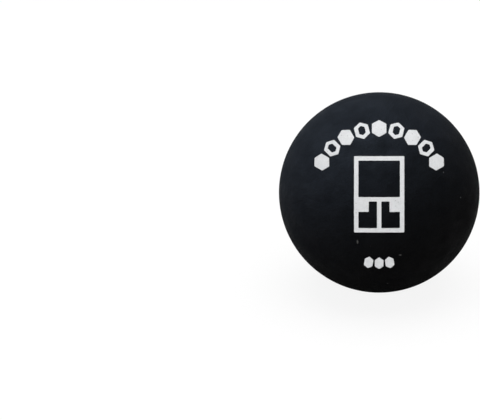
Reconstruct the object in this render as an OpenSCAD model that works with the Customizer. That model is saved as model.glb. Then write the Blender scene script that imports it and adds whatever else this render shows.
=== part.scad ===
// Squash ball, improver's size, in millimetres: two moulded rubber half shells bonded edge to edge
// round a sealed air space, with a white print on one side.
// The origin is the centre of the ball, which rests on the plane z = -ball_d / 2. The print faces -Y,
// rolled back from level. The seam runs square to the middle of the print.

/* [Ball] */
// Outside diameter of the ball
ball_d = 42.4; // [39:0.1:46]
// Thickness of the rubber wall
wall_t = 4.4; // [3:0.1:6]

/* [Seam] */
// Thickness of the cement between the flat edges of the two halves
cement_t = 0.15; // [0.1:0.05:0.4]
// How far the cement stops short of the outside
cement_sink = 0.05; // [0.03:0.01:0.2]
// Radius of the bead of cement squeezed out on the inside
bead_r = 0.4; // [0.3:0.05:1]
// Depth to which the outer edge of each half is buffed off
edge_break = 0.08; // [0.05:0.01:0.2]

/* [Print] */
// Angle by which the print is rolled back from level
roll_back = 22.5; // [0:0.5:90]
// Thickness of the ink
ink_t = 0.05; // [0.04:0.01:0.1]

/* [Arch of plaques] */
// Number of plaques in the arch
arch_count = 9; // [3:1:13]
// Distance over the surface from the middle of the print to the arch
arch_reach = 14.9; // [13.5:0.1:17]
// Distance along the arch from one plaque to the next
arch_pitch = 3.64; // [3.5:0.01:4]
// Width of a plaque
arch_w = 3; // [2.4:0.1:3.2]
// Height of a plaque from point to point
arch_h = 4.6; // [4.2:0.1:5.2]
// Length of a plaque's upright sides
arch_side = 2.4; // [1.6:0.1:3]
// Width of the ink around the hole in an open plaque
arch_rim = 0.8; // [0.5:0.05:0.9]

/* [Court plan] */
// Length of the court
court_l = 15.8; // [12:0.1:17]
// Width of the court
court_w = 10.4; // [9:0.1:12]
// Distance from the back wall to the middle of the short line
back_l = 6.9; // [5:0.1:8]
// Side of a service box
box_w = 2.6; // [1.5:0.1:3.2]
// Width of the lines
line_w = 0.9; // [0.4:0.1:1.2]

/* [Row of plaques] */
// Number of plaques in the row
row_count = 3; // [1:1:5]
// Distance over the surface from the middle of the print to the row
row_reach = 15.9; // [14.5:0.1:18]
// Distance along the row from one plaque to the next
row_pitch = 2.2; // [2.1:0.1:3]
// Width of a plaque in the row
row_w = 1.8; // [1.2:0.1:2]
// Height of a plaque in the row from point to point
row_h = 3.4; // [2.6:0.1:4]
// Length of the upright sides of a plaque in the row
row_side = 1.8; // [0.8:0.1:2.4]

/* [Hidden] */
$fn = 180;
ball_r = ball_d / 2;
air_r = ball_r - wall_t;
// Overrun of every cut past the surface that it leaves through
cut_over = 0.5;
rubber_colour = "#1c1e21";
cement_colour = "#2b2724";
ink_colour = "#dcdddf";

// Angle at the centre of the ball for a distance over its surface
function surface_angle(reach) = reach / ball_r * 180 / PI;

// Angle around the middle of the print for a distance along a band at that reach
function band_angle(pitch, reach) = pitch / (ball_r * sin(surface_angle(reach))) * 180 / PI;

// Turns the middle of the print, drawn on +Z with its top towards +Y, to where it lies on the ball
module print_side() {
    rotate([90 - roll_back, 0, 0])
        children();
}

// Section of one half shell, to be spun around the vertical axis
module half_section() {
    difference() {
        intersection() {
            circle(r = ball_r);
            translate([0, cement_t / 2])
                square(ball_r + cut_over);
        }
        circle(r = air_r);
        // Outer edge, buffed off at 45 degrees
        translate([ball_r, cement_t / 2])
            rotate(45)
                square(edge_break * sqrt(2), center = true);
    }
}

// Section of the cement: a flat ring, and the bead that fills the corner of the inner wall
module cement_section() {
    translate([air_r - bead_r / 2, -cement_t / 2])
        square([wall_t + bead_r / 2 - cement_sink, cement_t]);
    intersection() {
        translate([air_r, 0])
            circle(r = bead_r);
        circle(r = air_r);
    }
}

// Six-sided outline with upright sides, and a point at the top and the bottom
module plaque_outline(w, h, side) {
    polygon([
        for (turn = [1, -1])
            each [[turn * w / 2, -turn * side / 2], [turn * w / 2, turn * side / 2], [0, turn * h / 2]]
    ]);
}

// Plaque, solid or with an even rim of ink around a hole
module plaque(w, h, side, rim) {
    // The hole keeps the slope of the points, so the rim is as wide all round
    slope = (h - side) / w;
    hole_w = w - 2 * rim;
    hole_h = h - 2 * rim * sqrt(1 + slope * slope);
    difference() {
        plaque_outline(w, h, side);
        if (rim > 0)
            plaque_outline(hole_w, hole_h, hole_h - slope * hole_w);
    }
}

// Plan of a court, with its back wall at the bottom and its service boxes filled in
module court_plan() {
    back_y = -court_l / 2;
    short_y = back_y + back_l;
    difference() {
        square([court_w, court_l], center = true);
        square([court_w - 2 * line_w, court_l - 2 * line_w], center = true);
    }
    translate([0, short_y])
        square([court_w - line_w, line_w], center = true);
    translate([-line_w / 2, back_y + line_w / 2])
        square([line_w, back_l - line_w / 2]);
    for (side = [-1, 1])
        translate([side * (court_w - box_w - line_w) / 2, short_y - box_w / 2])
            square(box_w, center = true);
}

// Block with a flat outline that passes through the surface of the ball on +Z
module stamp(depth) {
    translate([0, 0, ball_r - depth])
        linear_extrude(height = depth + ink_t + cut_over)
            children();
}

// Film of ink where the given block passes through the surface of the ball
module printed() {
    intersection() {
        rotate([90, 0, 0])
            difference() {
                sphere(r = ball_r + ink_t);
                sphere(r = ball_r);
            }
        children();
    }
}

// Plaques side by side around the middle of the print, every other one with a hole if rim is set
module plaque_band(count, reach, pitch, w, h, side, rim, turn) {
    for (i = [0 : count - 1])
        printed()
            rotate([0, 0, turn + (i - (count - 1) / 2) * band_angle(pitch, reach)])
                rotate([-surface_angle(reach), 0, 0])
                    stamp(h / 2)
                        plaque(w, h, side, i % 2 == 1 ? rim : 0);
}

module front_half_shell() {
    color(rubber_colour)
        print_side()
            rotate_extrude()
                half_section();
}

module rear_half_shell() {
    color(rubber_colour)
        print_side()
            mirror([0, 0, 1])
                rotate_extrude()
                    half_section();
}

module seam_cement() {
    color(cement_colour)
        print_side()
            rotate_extrude()
                cement_section();
}

module arch_print() {
    color(ink_colour)
        print_side()
            plaque_band(arch_count, arch_reach, arch_pitch, arch_w, arch_h, arch_side, arch_rim, 0);
}

module court_print() {
    color(ink_colour)
        print_side()
            printed()
                stamp(court_l / 2)
                    court_plan();
}

module row_print() {
    color(ink_colour)
        print_side()
            plaque_band(row_count, row_reach, row_pitch, row_w, row_h, row_side, 0, 180);
}

front_half_shell();
rear_half_shell();
seam_cement();
arch_print();
court_print();
row_print();
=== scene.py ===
import math

import bmesh
import bpy
from mathutils import Matrix, Vector, noise


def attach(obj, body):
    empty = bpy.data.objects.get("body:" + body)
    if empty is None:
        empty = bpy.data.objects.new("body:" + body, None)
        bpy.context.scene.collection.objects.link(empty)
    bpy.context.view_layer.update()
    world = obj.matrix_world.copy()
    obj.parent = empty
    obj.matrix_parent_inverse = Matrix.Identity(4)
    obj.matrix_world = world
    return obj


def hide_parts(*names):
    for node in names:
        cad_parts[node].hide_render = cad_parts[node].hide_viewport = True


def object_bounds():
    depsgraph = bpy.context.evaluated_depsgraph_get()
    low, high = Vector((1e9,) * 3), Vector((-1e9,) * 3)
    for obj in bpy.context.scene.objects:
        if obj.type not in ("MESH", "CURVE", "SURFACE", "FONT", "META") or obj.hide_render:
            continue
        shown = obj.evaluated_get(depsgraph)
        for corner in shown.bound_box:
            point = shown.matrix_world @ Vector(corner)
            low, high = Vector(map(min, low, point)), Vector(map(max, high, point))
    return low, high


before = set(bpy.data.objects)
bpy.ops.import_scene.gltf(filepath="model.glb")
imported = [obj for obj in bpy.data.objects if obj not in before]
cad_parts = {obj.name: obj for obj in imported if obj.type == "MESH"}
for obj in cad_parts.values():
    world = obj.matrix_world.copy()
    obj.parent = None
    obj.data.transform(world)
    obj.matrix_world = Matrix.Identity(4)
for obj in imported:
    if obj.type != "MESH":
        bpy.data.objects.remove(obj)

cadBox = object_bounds()
mm = 0.001
ballRadius = (cadBox[1].z - cadBox[0].z) / 2
floorHeight = cadBox[0].z
print("frame loaded, ball radius in mm:", round(ballRadius / mm, 3))


# The camera stands where the picture was taken, and the ball lies at its place in the frame
view = {
    "elevation": 23.65,  # degrees that the ball is seen from above level
    "frameSize": (480, 420),
    "focalPixels": 4900,
    "ballPixel": (379.16, 192.45),
    "ballPixelRadius": 100.3,
    "sensor": 36,
    "nearest": 0.01,
    "farthest": 20,
}


def placeCamera():
    data = bpy.data.cameras.new("camera")
    data.sensor_width = view["sensor"]
    data.lens = view["focalPixels"] * view["sensor"] / view["frameSize"][0]
    data.clip_start = view["nearest"]
    data.clip_end = view["farthest"]
    camera = bpy.data.objects.new("camera", data)
    bpy.context.scene.collection.objects.link(camera)
    tilt = math.radians(view["elevation"])
    towards = Vector((0, -math.cos(tilt), math.sin(tilt)))
    distance = ballRadius / math.sin(math.atan(view["ballPixelRadius"] / view["focalPixels"]))
    right = view["ballPixel"][0] - view["frameSize"][0] / 2
    up = view["frameSize"][1] / 2 - view["ballPixel"][1]
    seenAt = Vector((right, up, -view["focalPixels"]))
    aside = seenAt.rotation_difference(Vector((0, 0, -1)))
    camera.rotation_mode = "QUATERNION"
    camera.rotation_quaternion = (-towards).to_track_quat("-Z", "Y") @ aside
    camera.location = towards * distance
    bpy.context.scene.camera = camera


placeCamera()


# Plain soft studio light: levels are the brightness of each lamp's face, where white is 1
studio = {
    "ambient": 0.35,
    "overhead": {"place": (0, 0.1, 1), "size": 1.1, "level": 2.2, "colour": (1, 1, 1)},
    "front": {"place": (0, -1.3, 0.45), "size": 0.8, "level": 2.2, "colour": (1, 1, 1)},
    "sheen": {"place": (-0.36, 0, 0.85), "size": 1, "level": 58, "colour": (0.78, 1, 1.36)},
    "floorSize": 4,
    "floorColour": (0.96, 0.96, 0.96, 1),
    "floorWhite": 0.88,  # share of plain white that the floor shows, over its lit colour
    "shadowReach": 4,  # radii of the ball, past which a reflection of the floor is that white too
}


def placeLamp(name, diffuse, glossy):
    look = studio[name]
    data = bpy.data.lights.new(name, "AREA")
    data.shape = "SQUARE"
    data.size = look["size"]
    data.color = look["colour"]
    data.energy = 4 * look["level"] * look["size"] ** 2  # watts, for a square face of that level
    lamp = bpy.data.objects.new(name, data)
    lamp.location = look["place"]
    lamp.rotation_mode = "QUATERNION"
    lamp.rotation_quaternion = (-lamp.location).to_track_quat("-Z", "Y")
    lamp.visible_camera = False
    lamp.visible_diffuse = diffuse
    lamp.visible_glossy = glossy
    bpy.context.scene.collection.objects.link(lamp)


placeLamp("overhead", diffuse=True, glossy=False)
placeLamp("front", diffuse=True, glossy=False)
placeLamp("sheen", diffuse=False, glossy=True)


class Wire:
    # one output of a node: an expression on wires adds the Math nodes for it
    def __init__(self, tree, end=None):
        self.tree = tree
        self.end = end

    def fill(self, node, sockets):
        for key, value in sockets.items():
            if isinstance(value, Wire):
                self.tree.links.new(value.end, node.inputs[key])
            else:
                node.inputs[key].default_value = value

    def put(self, kind, settings, sockets, out=0):
        # any node: its settings first, then the values or links of its sockets
        made = self.tree.nodes.new(kind)
        for name, value in settings.items():
            setattr(made, name, value)
        self.fill(made, sockets)
        return Wire(self.tree, made.outputs[out])

    def other(self, out):
        return Wire(self.tree, self.end.node.outputs[out])

    def sum(self, operation, first, second, clamp=False):
        settings = {"operation": operation, "use_clamp": clamp}
        return self.put("ShaderNodeMath", settings, {0: first, 1: second})

    def clamped(self):
        return self.sum("ADD", self, 0, clamp=True)

    def blend(self, share, first, second):
        sockets = {0: share, 6: first, 7: second}
        return self.put("ShaderNodeMix", {"data_type": "RGBA"}, sockets, out=2)

    def __add__(self, more):
        return self.sum("ADD", self, more)

    def __radd__(self, more):
        return self.sum("ADD", more, self)

    def __sub__(self, less):
        return self.sum("SUBTRACT", self, less)

    def __rsub__(self, more):
        return self.sum("SUBTRACT", more, self)

    def __mul__(self, times):
        return self.sum("MULTIPLY", self, times)

    def __rmul__(self, times):
        return self.sum("MULTIPLY", times, self)

    def __truediv__(self, parts):
        return self.sum("DIVIDE", self, parts)

    def __gt__(self, limit):
        return self.sum("GREATER_THAN", self, limit)


def newMaterial(name):
    # with it come a loose wire, to put the first node with, and the shader that is filled last
    material = bpy.data.materials.new(name)
    material.use_nodes = True
    start = Wire(material.node_tree)
    return material, start, material.node_tree.nodes["Principled BSDF"]


def objectPlace(start):
    return start.put("ShaderNodeTexCoord", {}, {}, out="Object")


def lengthOf(start, vector):
    return start.put("ShaderNodeVectorMath", {"operation": "LENGTH"}, {0: vector}, out="Value")


def whiteShare(start, mirrored=1):
    # 1 for rays of the camera and through clear things, the given share for reflections, or else 0
    path = start.put("ShaderNodeLightPath", {}, {}, out="Is Camera Ray")
    seen = start.sum("MAXIMUM", path, path.other("Is Transmission Ray"))
    return start.sum("MAXIMUM", seen, path.other("Is Glossy Ray") * mirrored)


def lightRoom():
    world = bpy.data.worlds.new("studio")
    bpy.context.scene.world = world
    world.use_nodes = True
    start = Wire(world.node_tree)
    level = studio["ambient"] + (1 - studio["ambient"]) * whiteShare(start)
    start.fill(world.node_tree.nodes["Background"], {"Color": (1, 1, 1, 1), "Strength": level})

    material, start, shader = newMaterial("paleFloor")
    start.fill(shader, {
        "Base Color": studio["floorColour"],
        "Roughness": 1.0,
        "Specular IOR Level": 0.0,
    })
    lit = Wire(start.tree, shader.outputs[0])
    glow = start.put("ShaderNodeEmission", {}, {"Color": (1, 1, 1, 1), "Strength": 1.0})
    # a reflection of the floor keeps the shadow close to the ball, as its underside would show it
    reach = lengthOf(start, objectPlace(start))
    away = ((reach / ballRadius - 1) / studio["shadowReach"]).clamped()
    share = whiteShare(start, away) * studio["floorWhite"]
    mixed = start.put("ShaderNodeMixShader", {}, {0: share, 1: lit, 2: glow})
    start.fill(start.tree.nodes["Material Output"], {"Surface": mixed})

    sheet = bmesh.new()
    bmesh.ops.create_grid(sheet, x_segments=1, y_segments=1, size=studio["floorSize"] / 2)
    bmesh.ops.translate(sheet, verts=sheet.verts, vec=(0, 0, floorHeight))
    mesh = bpy.data.meshes.new("floor")
    sheet.to_mesh(mesh)
    sheet.free()
    mesh.materials.append(material)
    floor = bpy.data.objects.new("floor", mesh)
    bpy.context.scene.collection.objects.link(floor)


lightRoom()
bpy.context.scene.view_settings.view_transform = "Standard"
print("camera, lamps and floor in place")


# The print is drawn flat, right and up from its middle, and lies on the ball rolled back from level
printSide = {
    "rollBack": 22.5,  # degrees
    "ink": 0.05 * mm,
    "edgeInk": 0.03 * mm,  # thickness at the very edge of the ink
    "edgeWidth": 0.07 * mm,
    "corner": 0.16 * mm,
    "cell": 0.22 * mm,
    "firstCut": 0.37,  # cells from the middle, so that no cut runs along a side of the print
    "wobble": 0.025 * mm,
    "wobbleLength": 0.7 * mm,
    "wobbleSeed": 1,
}
toPrintSide = Matrix.Rotation(math.radians(90 - printSide["rollBack"]), 4, "X")

rubber = {
    "wall": 4.4 * mm,
    "cells": 110,  # faces along each quarter of the outside
    "edgeBreak": 0.08 * mm,
    "rippleHeight": 0.012 * mm,
    "rippleLength": 5 * mm,
    "finerRipple": 2.7,  # times as fine as the long ripple
    "finerShare": 0.4,
    "black": (0.0015, 0.0015, 0.0016, 1),
    "lighterBlack": (0.0034, 0.0034, 0.0036, 1),
    "dust": (0.065, 0.065, 0.063, 1),
    # scale and detail of each noise: a larger scale makes smaller marks
    "mottle": (230, 4),
    "blotch": (850, 3),
    "grain": (6000, 4),
    "grainHeight": 0.5 * mm,
    "heights": {"grain": 0.37, "blotch": 0.25, "mottle": 0.9, "dust": 0.4},  # shares of grainHeight
    "roughest": 0.94,
    "smoothest": 0.7,
    "gloss": 0.015,
    "fray": 0.16 * mm,
    "motes": {"cells": 400, "size": 0.09, "edge": 12, "lot": 0.9},
    "moteCover": 0.6,
    # specks on the printed side: right and up from the middle of the print, width and height
    "specks": [
        (-4.5, -9.9, 0.3, 0.75),
        (4.4, -12.7, 0.45, 0.35),
        (13.4, 4.5, 0.2, 0.3),
        (17, -0.8, 0.2, 0.25),
        (1.8, -18.9, 0.25, 0.2),
    ],
    "speckEdge": 1.6,  # half sizes of a speck, at which its dust ends
    "outside": 0.9,  # share of the wall, past which a point is on the outside
}
cement = {
    "thickness": 0.15 * mm,
    "sink": 0.05 * mm,
    "bead": 0.4 * mm,
    "beadRoot": 0.05 * mm,  # deep, which stays as it is
    "steps": 360,
    "beadSwell": 0.35,  # shares by which the bead and the outer edge swell and thin
    "edgeSwell": 0.5,
    "swellLength": 2 * mm,
    "finerLength": 0.6 * mm,
    "finerShare": 0.5,
    "brown": (0.009, 0.007, 0.0055, 1),
    "darkBrown": (0.003, 0.0025, 0.002, 1),
    "streaks": (900, 4),
    "streakHeight": 0.04 * mm,
    "smoothest": 0.6,
    "roughest": 0.8,
    "gloss": 0.015,
}
airRadius = ballRadius - rubber["wall"]


def surfaceLift(place):
    # the moulding's faint unevenness, all inward, the same for the rubber and the ink on it
    long = noise.noise(place / rubber["rippleLength"])
    short = noise.noise(place / rubber["rippleLength"] * rubber["finerRipple"])
    return (long + rubber["finerShare"] * short - 1) * rubber["rippleHeight"]


def finishPiece(mesh, name, material, nodes, sharpAngle=35):
    bmesh.ops.recalc_face_normals(mesh, faces=mesh.faces)
    data = bpy.data.meshes.new(name)
    mesh.to_mesh(data)
    mesh.free()
    data.shade_smooth()
    data.set_sharp_from_angle(angle=math.radians(sharpAngle))
    data.materials.append(material)
    piece = bpy.data.objects.new(name, data)
    bpy.context.scene.collection.objects.link(piece)
    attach(piece, "root")
    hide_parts(*nodes)
    print(name, "has", len(data.polygons), "faces")
    return piece


def onPrintSide(right, up):
    # the point of the ball's surface at a place on the print's plane
    return toPrintSide @ Vector((right, up, math.sqrt(ballRadius**2 - right**2 - up**2)))


def speckle(start, at, size):
    scale, detail = size
    return start.put("ShaderNodeTexNoise", {}, {"Vector": at, "Scale": scale, "Detail": detail})


def frayedPlace(start, at, grain, reach):
    # places pushed about by the grain, for marks with frayed outlines
    return start.put("ShaderNodeVectorMath", {"operation": "MULTIPLY_ADD"},
                     {0: grain.other("Color"), 1: (reach, reach, reach), 2: at})


def spots(start, at, look):
    # a small spot in each of many cells whose random number is over the lot
    cells = start.put("ShaderNodeTexVoronoi", {}, {"Vector": at, "Scale": look["cells"]})
    lots = start.put("ShaderNodeSeparateColor", {}, {"Color": cells.other("Color")})
    return ((look["size"] - cells) * look["edge"]).clamped() * (lots > look["lot"])


def buffedRubber():
    material, start, shader = newMaterial("buffedRubber")
    at = objectPlace(start)
    mottle = speckle(start, at, rubber["mottle"])
    blotch = speckle(start, at, rubber["blotch"])
    grain = speckle(start, at, rubber["grain"])
    # fine motes of dust all over, and larger specks of it on the printed side
    frayed = frayedPlace(start, at, grain, rubber["fray"])
    dust = spots(start, frayed, rubber["motes"]) * rubber["moteCover"]
    for right, up, width, height in rubber["specks"]:
        middle = onPrintSide(right * mm, up * mm) + Vector([rubber["fray"] / 2] * 3)
        size = (width * mm / 2, height * mm / 2, height * mm / 2)
        near = start.put("ShaderNodeMapping", {"vector_type": "TEXTURE"},
                         {"Vector": frayed, "Location": middle, "Scale": size})
        speck = (rubber["speckEdge"] - lengthOf(start, near)).clamped()
        dust = start.sum("MAXIMUM", dust, speck)
    uneven = (mottle * 2 - 0.5).clamped()  # the middle half of the noise, spread from 0 to 1
    black = start.blend((uneven + blotch) * 0.5, rubber["black"], rubber["lighterBlack"])
    heights = rubber["heights"]
    height = (grain * heights["grain"] + blotch * heights["blotch"]
              + mottle * heights["mottle"] + dust * heights["dust"])
    bump = start.put("ShaderNodeBump", {},
                     {"Strength": 1.0, "Distance": rubber["grainHeight"], "Height": height})
    start.fill(shader, {
        "Base Color": start.blend(dust, black, rubber["dust"]),
        "Roughness": rubber["roughest"] - (rubber["roughest"] - rubber["smoothest"]) * uneven,
        "Specular IOR Level": rubber["gloss"],
        "Normal": bump,
    })
    return material


def curedCement():
    material, start, shader = newMaterial("curedCement")
    streaks = speckle(start, objectPlace(start), cement["streaks"])
    bump = start.put("ShaderNodeBump", {},
                     {"Strength": 0.4, "Distance": cement["streakHeight"], "Height": streaks})
    start.fill(shader, {
        "Base Color": start.blend(streaks, cement["darkBrown"], cement["brown"]),
        "Roughness": cement["smoothest"] + (cement["roughest"] - cement["smoothest"]) * streaks,
        "Specular IOR Level": cement["gloss"],
        "Normal": bump,
    })
    return material


def allOf(mesh):
    return mesh.verts[:] + mesh.edges[:] + mesh.faces[:]


def onlyOf(kind, parts):
    return [part for part in parts if isinstance(part, kind)]


def halfShell(name, node, turn, material):
    shell = bmesh.new()
    bmesh.ops.create_cube(shell, size=2)
    bmesh.ops.subdivide_edges(shell, edges=shell.edges, cuts=rubber["cells"] - 1, use_grid_fill=True)
    for vert in shell.verts:  # even angles, so that all faces are about as large
        even = Vector([math.tan(side * math.pi / 4) for side in vert.co])
        vert.co = even.normalized() * ballRadius
    rimHeight = cement["thickness"] / 2
    bmesh.ops.bisect_plane(shell, geom=allOf(shell), plane_co=(0, 0, rimHeight),
                           plane_no=(0, 0, 1), clear_inner=True)

    # the inside is the same skin, smaller, and the flat edge joins the two rims
    outerRim = [edge for edge in shell.edges if edge.is_boundary]
    inside = bmesh.ops.duplicate(shell, geom=allOf(shell))["geom"]
    innerRim = [edge for edge in onlyOf(bmesh.types.BMEdge, inside) if edge.is_boundary]
    smaller = [airRadius / ballRadius] * 3
    bmesh.ops.scale(shell, verts=onlyOf(bmesh.types.BMVert, inside), vec=smaller)
    for rim, radius in ((outerRim, ballRadius), (innerRim, airRadius)):
        for vert in {vert for edge in rim for vert in edge.verts}:
            level = Vector((vert.co.x, vert.co.y, 0)).normalized()
            level *= math.sqrt(radius**2 - rimHeight**2)
            vert.co = (level.x, level.y, rimHeight)
    bmesh.ops.reverse_faces(shell, faces=onlyOf(bmesh.types.BMFace, inside))
    bmesh.ops.bridge_loops(shell, edges=outerRim + innerRim)
    bmesh.ops.bevel(shell, geom=outerRim, offset=rubber["edgeBreak"], segments=3, profile=0.5,
                    affect="EDGES", material=-1)
    bmesh.ops.transform(shell, verts=shell.verts, matrix=toPrintSide @ Matrix.Rotation(turn, 4, "X"))
    for vert in shell.verts:
        share = (vert.co.length - airRadius) / rubber["wall"]  # 0 on the inside, 1 on the outside
        if share > rubber["outside"]:
            vert.co += vert.co.normalized() * surfaceLift(vert.co)
    return finishPiece(shell, name, material, [node])


rubberMaterial = buffedRubber()
halfShell("rubberFront", "front_half_shell", 0, rubberMaterial)
halfShell("rubberRear", "rear_half_shell", math.pi, rubberMaterial)


def cementRing():
    # the flat ring's section and the round bead, spun around the print's axis
    half = cement["thickness"] / 2
    outer = ballRadius - cement["sink"]
    section = [(outer - half, -half), (outer - half / 3, -half / 2), (outer, 0)]
    section += [(outer - half / 3, half / 2), (outer - half, half), (airRadius, half)]
    for angle in range(-88, 89, 11):  # degrees around the bead
        turn = math.radians(angle)
        section.append((airRadius - cement["bead"] * math.cos(turn), -cement["bead"] * math.sin(turn)))
    section.append((airRadius, -half))
    ring = bmesh.new()
    verts = [ring.verts.new((across, 0, up)) for across, up in section]
    edges = [ring.edges.new((verts[i - 1], verts[i])) for i in range(len(verts))]
    bmesh.ops.spin(ring, geom=verts + edges, cent=(0, 0, 0), axis=(0, 0, 1), angle=2 * math.pi,
                   steps=cement["steps"], use_merge=True)
    for vert in ring.verts:
        level = Vector((vert.co.x, vert.co.y, 0))
        away = level.length - airRadius  # below 0 on the bead
        finer = noise.noise(level / cement["finerLength"]) * cement["finerShare"]
        lift = noise.noise(level / cement["swellLength"]) + finer
        if away < -cement["beadRoot"]:
            vert.co += level.normalized() * away * cement["beadSwell"] * lift
        elif away > rubber["wall"] * rubber["outside"]:
            vert.co += level.normalized() * cement["sink"] * cement["edgeSwell"] * lift
    bmesh.ops.transform(ring, verts=ring.verts, matrix=toPrintSide)
    return finishPiece(ring, "cementRing", curedCement(), ["seam_cement"])


cementRing()
print("rubber and cement made")


# The printed marks, with the same sizes as the solids that they stand for
arch = {
    "count": 9,
    "reach": 14.9 * mm,  # from the middle of the print, along the surface
    "pitch": 3.64 * mm,
    "width": 3 * mm,
    "height": 4.6 * mm,
    "side": 2.4 * mm,
    "rim": 0.8 * mm,  # of every second plaque, which is open
    "turn": 0,
}
row = {
    "count": 3,
    "reach": 15.9 * mm,
    "pitch": 2.2 * mm,
    "width": 1.8 * mm,
    "height": 3.4 * mm,
    "side": 1.8 * mm,
    "rim": 0,
    "turn": math.pi,
}
court = {
    "length": 15.8 * mm,
    "width": 10.4 * mm,
    "back": 6.9 * mm,  # from the back wall to the short line
    "box": 2.6 * mm,
    "line": 0.9 * mm,
}
ink = {
    "white": (0.69, 0.7, 0.71, 1),
    "thin": (0.565, 0.57, 0.578, 1),
    "bare": (0.2, 0.2, 0.205, 1),
    "patches": (700, 3),
    "grain": (3600, 2),
    "grainHeight": 0.03 * mm,
    "fray": 0.12 * mm,
    "pinholes": {"cells": 1700, "size": 0.17, "edge": 20, "lot": 0.8},
    "pinholeDepth": 0.7,
    "roughness": 0.9,
    "gloss": 0.01,
}


def printInk():
    material, start, shader = newMaterial("printInk")
    at = objectPlace(start)
    patches = speckle(start, at, ink["patches"])
    grain = speckle(start, at, ink["grain"])
    pinholes = spots(start, frayedPlace(start, at, grain, ink["fray"]), ink["pinholes"])
    cover = (patches * 0.8 + grain * 1.2 - 0.5).clamped()  # thin where both noises are low
    covered = start.blend(cover, ink["thin"], ink["white"])
    bump = start.put("ShaderNodeBump", {},
                     {"Strength": 0.4, "Distance": ink["grainHeight"], "Height": grain - pinholes})
    start.fill(shader, {
        "Base Color": start.blend(pinholes * ink["pinholeDepth"], covered, ink["bare"]),
        "Roughness": ink["roughness"],
        "Specular IOR Level": ink["gloss"],
        "Normal": bump,
    })
    return material


def plaqueLoop(width, height, side):
    x, low, high = width / 2, side / 2, height / 2
    return [(x, -low), (x, low), (0, high), (-x, low), (-x, -low), (0, -high)]


def plaqueLoops(size, isOpen):
    loops = [plaqueLoop(size["width"], size["height"], size["side"])]
    if isOpen:
        slope = (size["height"] - size["side"]) / size["width"]
        width = size["width"] - 2 * size["rim"]
        height = size["height"] - 2 * size["rim"] * math.hypot(1, slope)
        loops.append(plaqueLoop(width, height, height - slope * width))
    return loops


def courtLoops():
    line, box = court["line"], court["box"]
    wallX, wallY = court["width"] / 2, court["length"] / 2
    shortY = court["back"] - wallY
    edgeX, boxX = wallX - line, wallX - line / 2 - box
    aboveShort, belowShort = shortY + line / 2, shortY - line / 2
    walls = [(wallX, -wallY), (wallX, wallY), (-wallX, wallY), (-wallX, -wallY)]
    front = [(edgeX, aboveShort), (edgeX, wallY - line), (-edgeX, wallY - line), (-edgeX, aboveShort)]
    right = [(line / 2, line - wallY), (edgeX, line - wallY), (edgeX, shortY - box),
             (boxX, shortY - box), (boxX, belowShort), (line / 2, belowShort)]
    left = [(-x, y) for x, y in reversed(right)]
    return [walls, front, right, left]


def middleOf(part):
    corners = [part] if isinstance(part, bmesh.types.BMVert) else part.verts
    return sum((corner.co for corner in corners), Vector()) / len(corners)


def sortParts(mesh):
    # an extrusion leaves its parts in an order that changes from run to run, and cuts would show it
    slant = Vector((1, 2.218, 20.26))  # no two parts are equally far along it
    for parts in (mesh.verts, mesh.edges, mesh.faces):
        parts.sort(key=lambda part: middleOf(part).dot(slant))
        parts.index_update()


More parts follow.
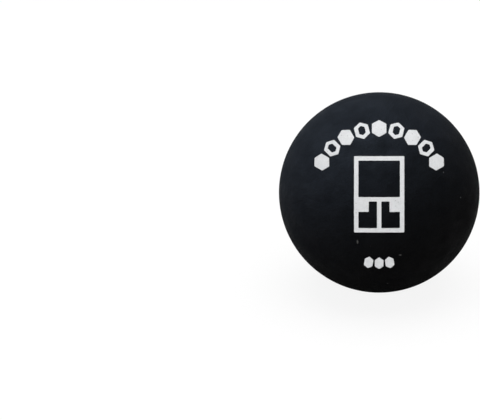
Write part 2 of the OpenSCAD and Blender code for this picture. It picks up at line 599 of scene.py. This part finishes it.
def inkFilm(loops, place):
    # flat first: x and y are the print's plane, and z is the height over the rubber
    film = bmesh.new()
    for loop in loops:
        film.faces.new([film.verts.new((x, y, 0)) for x, y in loop])
    bmesh.ops.bevel(film, geom=film.verts[:], offset=printSide["corner"], segments=4, profile=0.5,
                    affect="VERTICES", material=-1)
    bmesh.ops.delete(film, geom=film.faces[:], context="FACES_ONLY")
    bmesh.ops.triangle_fill(film, edges=film.edges[:], use_beauty=True)
    bmesh.ops.recalc_face_normals(film, faces=film.faces)
    if film.faces[:][0].normal.z < 0:
        bmesh.ops.reverse_faces(film, faces=film.faces)
    top = bmesh.ops.extrude_face_region(film, geom=film.faces[:], use_keep_orig=True)["geom"]
    bmesh.ops.translate(film, verts=onlyOf(bmesh.types.BMVert, top), vec=(0, 0, printSide["edgeInk"]))
    bmesh.ops.inset_region(film, faces=onlyOf(bmesh.types.BMFace, top),
                           thickness=printSide["edgeWidth"],
                           depth=printSide["ink"] - printSide["edgeInk"],
                           use_boundary=True, use_even_offset=True)
    sortParts(film)
    # small cells, so that the film can bend over the ball
    cell = printSide["cell"]
    snap = cell / 6  # a corner this near to a cut lies on it
    shortest = cell / 12  # of the edges that are kept
    for axis in (Vector((1, 0, 0)), Vector((0, 1, 0))):
        reach = max(abs(vert.co @ axis) for vert in film.verts)
        for i in range(-int(reach / cell), int(reach / cell) + 1):
            bmesh.ops.bisect_plane(film, geom=allOf(film), dist=snap,
                                   plane_co=axis * (i + printSide["firstCut"]) * cell, plane_no=axis)
    bmesh.ops.dissolve_degenerate(film, dist=shortest, edges=film.edges)
    for vert in film.verts:
        x, y, height = vert.co
        flat = place @ Vector((x, y, math.sqrt(ballRadius**2 - x * x - y * y)))
        shift = noise.noise_vector(flat / printSide["wobbleLength"]) * printSide["wobble"]
        out = (flat + shift).normalized()
        vert.co = out * (ballRadius + surfaceLift(out * ballRadius) + height)
    return film


def joinFilms(name, node, films, material):
    whole = bmesh.new()
    for film in films:
        part = bpy.data.meshes.new("part")
        film.to_mesh(part)
        film.free()
        whole.from_mesh(part)
        bpy.data.meshes.remove(part)
    return finishPiece(whole, name, material, [node], sharpAngle=50)


def plaqueBand(size):
    surfaceAngle = size["reach"] / ballRadius
    step = size["pitch"] / (ballRadius * math.sin(surfaceAngle))
    for i in range(size["count"]):
        around = Matrix.Rotation(size["turn"] + (i - (size["count"] - 1) / 2) * step, 4, "Z")
        place = toPrintSide @ around @ Matrix.Rotation(-surfaceAngle, 4, "X")
        yield inkFilm(plaqueLoops(size, size["rim"] > 0 and i % 2 == 1), place)


noise.seed_set(printSide["wobbleSeed"])
inkMaterial = printInk()
joinFilms("inkArch", "arch_print", plaqueBand(arch), inkMaterial)
joinFilms("inkCourt", "court_print", [inkFilm(courtLoops(), toPrintSide)], inkMaterial)
joinFilms("inkRow", "row_print", plaqueBand(row), inkMaterial)
print("print made")
